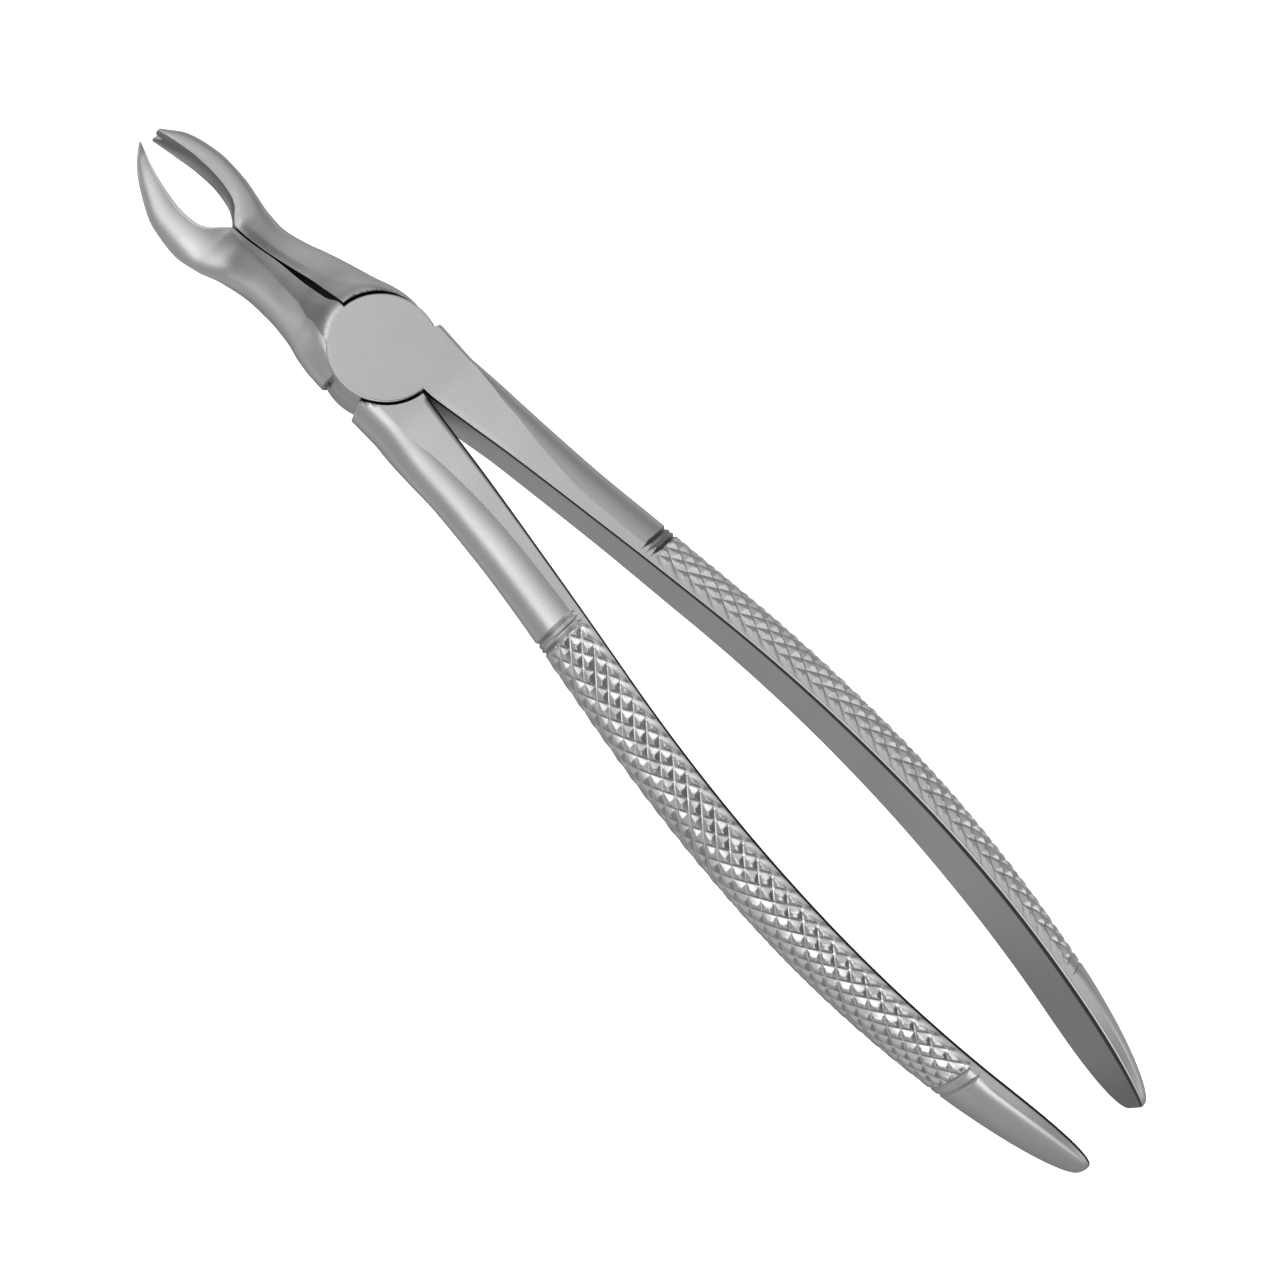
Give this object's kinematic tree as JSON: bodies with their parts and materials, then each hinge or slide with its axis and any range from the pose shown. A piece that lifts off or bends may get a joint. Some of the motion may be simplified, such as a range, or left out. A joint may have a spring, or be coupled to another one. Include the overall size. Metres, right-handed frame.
{
  "type": "extraction forceps",
  "caption": "Dental extraction forceps for upper molars, one pointed and one forked beak on crossed halves that turn on a lap joint.",
  "frame": {"origin": "the rivet's axis at the joint's flat back face", "axes": "+X along the instrument to the tips of the beaks, +Y to the side of the pointed beak, +Z along the rivet from the back face to the front face"},
  "size_m": [0.176, 0.0304, 0.0207],
  "materials": {
    "satin_steel": "satin"
  },
  "bodies": {
    "front": {"front_half": "satin_steel", "joint_rivet": "satin_steel"},
    "back": {"back_half": "satin_steel"}
  },
  "joints": [
    {"name": "joint_hinge", "type": "hinge", "parent": "front", "child": "back", "pos_m": [0, 0, 0.0038], "axis": [0, 0, -1], "range_deg": [-0.5, 28]}
  ]
}
